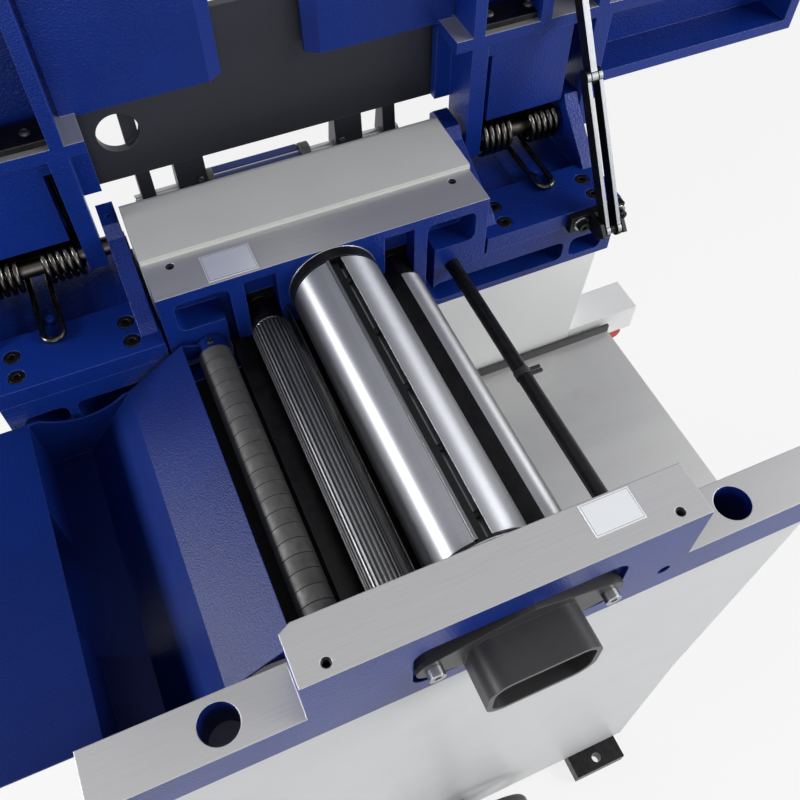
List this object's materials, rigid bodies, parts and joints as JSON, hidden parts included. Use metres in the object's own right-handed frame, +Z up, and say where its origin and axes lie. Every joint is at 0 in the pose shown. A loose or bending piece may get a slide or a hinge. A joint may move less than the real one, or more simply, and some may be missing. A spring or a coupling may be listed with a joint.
{
  "type": "planer thicknesser",
  "caption": "Combination planer thicknesser with raised surfacing tables, cutterblock, feed rollers, rising table, dust hood and fence.",
  "frame": {"origin": "on the floor, midway between the floor bolts and under the cutterblock", "axes": "+X along the feed towards the infeed table, +Y from the operator to the fence, +Z up"},
  "size_m": [1.18, 0.652, 1.345],
  "materials": {
    "blue_paint": "satin hammer paint",
    "blue_casting": "painted casting with ground tops",
    "ground_iron": "ground",
    "steel": "turned",
    "black_steel": "black oxide",
    "dark_iron": "dark cast",
    "white_paint": "satin paint",
    "grey_cover": "satin paint",
    "grey_motor": "ribbed housing",
    "black_plastic": "matte",
    "belt_rubber": "matte",
    "fence_grey": "anodised",
    "red_plastic": "gloss"
  },
  "bodies": {
    "machine": {"base_rails": "black_steel", "cabinet_base": "white_paint", "cabinet_front_wall": "white_paint", "cabinet_rear_wall": "white_paint", "column_guide": "ground_iron", "screw_seat": "ground_iron", "front_frame": "blue_casting", "rear_frame": "blue_casting", "bearing_caps": "black_steel", "block_bearings": "steel", "roller_blocks": "black_steel", "finger_shaft": "steel", "tie_rod": "black_steel", "rod_catch": "black_plastic", "chip_deflector": "black_steel", "hinge_bracket_left": "blue_casting", "hinge_bracket_right": "blue_casting", "bracket_screws": "black_steel", "hinge_shaft_left": "steel", "hinge_shaft_right": "steel", "spring_left": "steel", "spring_right": "steel", "stay_bracket": "black_steel", "stay_bolts": "black_steel", "drive_cover": "grey_cover", "belt_guard": "white_paint", "motor": "grey_motor", "drive_belt": "belt_rubber", "drive_chain": "black_steel", "fence_carrier": "blue_casting", "fence_pin": "steel", "guard_bracket": "black_plastic", "guard_bolts": "steel", "switch_box": "white_paint"},
    "block": {"cutterblock": "steel", "knives": "steel", "gibs": "black_steel", "gib_screws": "black_steel", "block_pulley": "dark_iron"},
    "motor_drive": {"motor_pulley": "dark_iron"},
    "infeed": {"infeed_roller": "dark_iron", "infeed_sprocket": "steel"},
    "outfeed": {"outfeed_roller": "steel", "outfeed_sprocket": "steel"},
    "fingers": {"kickback_fingers": "dark_iron"},
    "bed": {"thickness_table": "ground_iron", "table_edge_strip": "black_plastic", "table_column": "steel"},
    "screw": {"lead_screw": "steel"},
    "wheel": {"handwheel": "black_plastic"},
    "hood": {"dust_hood": "blue_paint", "hood_port": "black_plastic"},
    "outfeed_top": {"outfeed_table": "blue_casting"},
    "outfeed_clamp": {"outfeed_lock": "black_steel"},
    "infeed_top": {"infeed_table": "blue_casting"},
    "infeed_clamp": {"infeed_lock": "black_steel"},
    "stay_low": {"stay_lower": "black_steel"},
    "stay_high": {"stay_upper": "black_steel"},
    "fence": {"fence_plate": "fence_grey"},
    "stop": {"stop_button": "red_plastic"}
  },
  "joints": [
    {"name": "block_spin", "type": "hinge", "parent": "machine", "child": "block", "pos_m": [0, 0, 0.8063], "axis": [0, 1, 0], "continuous": true},
    {"name": "motor_spin", "type": "hinge", "parent": "machine", "child": "motor_drive", "pos_m": [-0.165, 0.245, 0.124], "axis": [0, 1, 0], "continuous": true},
    {"name": "infeed_spin", "type": "hinge", "parent": "machine", "child": "infeed", "pos_m": [-0.069, 0, 0.779], "axis": [0, 1, 0], "continuous": true},
    {"name": "outfeed_spin", "type": "hinge", "parent": "machine", "child": "outfeed", "pos_m": [0.069, 0, 0.779], "axis": [0, 1, 0], "continuous": true},
    {"name": "finger_swing", "type": "hinge", "parent": "machine", "child": "fingers", "pos_m": [-0.127, 0, 0.7755], "axis": [0, -1, 0], "range_deg": [0, 45]},
    {"name": "handwheel_turn", "type": "hinge", "parent": "machine", "child": "wheel", "pos_m": [0, -0.239, 0.095], "axis": [0, -1, 0], "range_deg": [-2530, 9010]},
    {"name": "screw_turn", "type": "hinge", "parent": "machine", "child": "screw", "pos_m": [0, 0, 0.2], "axis": [0, 0, 1], "range_deg": [-2530, 9010]},
    {"name": "table_lift", "type": "slide", "parent": "machine", "child": "bed", "axis": [0, 0, 1], "range_m": [-0.028, 0.1]},
    {"name": "hood_swing", "type": "hinge", "parent": "machine", "child": "hood", "pos_m": [-0.127, 0, 0.7755], "axis": [0, -1, 0], "range_deg": [-152, 0]},
    {"name": "outfeed_tilt", "type": "hinge", "parent": "machine", "child": "outfeed_top", "pos_m": [-0.25725, 0.281, 0.815], "axis": [1, 0, 0], "range_deg": [0, 90], "deforming": ["spring_left"]},
    {"name": "outfeed_clamp_turn", "type": "hinge", "parent": "outfeed_top", "child": "outfeed_clamp", "pos_m": [-0.2225, 0.27, 1.278], "axis": [0, 1, 0], "range_deg": [-30, 30]},
    {"name": "infeed_tilt", "type": "hinge", "parent": "machine", "child": "infeed_top", "pos_m": [0.25725, 0.281, 0.815], "axis": [1, 0, 0], "range_deg": [0, 90], "deforming": ["spring_right"]},
    {"name": "infeed_clamp_turn", "type": "hinge", "parent": "infeed_top", "child": "infeed_clamp", "pos_m": [0.2225, 0.27, 1.278], "axis": [0, 1, 0], "range_deg": [-30, 30]},
    {"name": "stay_low_turn", "type": "hinge", "parent": "machine", "child": "stay_low", "pos_m": [0.295, 0.132, 0.783], "axis": [1, 0, 0], "range_deg": [-1, 126]},
    {"name": "stay_high_turn", "type": "hinge", "parent": "infeed_top", "child": "stay_high", "pos_m": [0.295, 0.278, 1.006], "axis": [1, 0, 0], "range_deg": [-132, 1]},
    {"name": "fence_tilt", "type": "hinge", "parent": "machine", "child": "fence", "pos_m": [0, 0.34, 0.807], "axis": [-1, 0, 0], "range_deg": [0, 45]},
    {"name": "stop_press", "type": "slide", "parent": "machine", "child": "stop", "axis": [0, 1, 0], "range_m": [0, 0.005], "stiffness_N_per_m": 400}
  ],
  "couplings": [
    {"joint": "motor_spin", "follows": "block_spin", "ratio": 0.7},
    {"joint": "outfeed_spin", "follows": "infeed_spin", "ratio": 1},
    {"joint": "screw_turn", "follows": "table_lift", "rad_per_m": 1570.8},
    {"joint": "handwheel_turn", "follows": "table_lift", "rad_per_m": 1570.8},
    {"joint": "stay_low_turn", "follows": "infeed_tilt", "ratio": 1.3846},
    {"joint": "stay_high_turn", "follows": "infeed_tilt", "ratio": -1.4469}
  ]
}
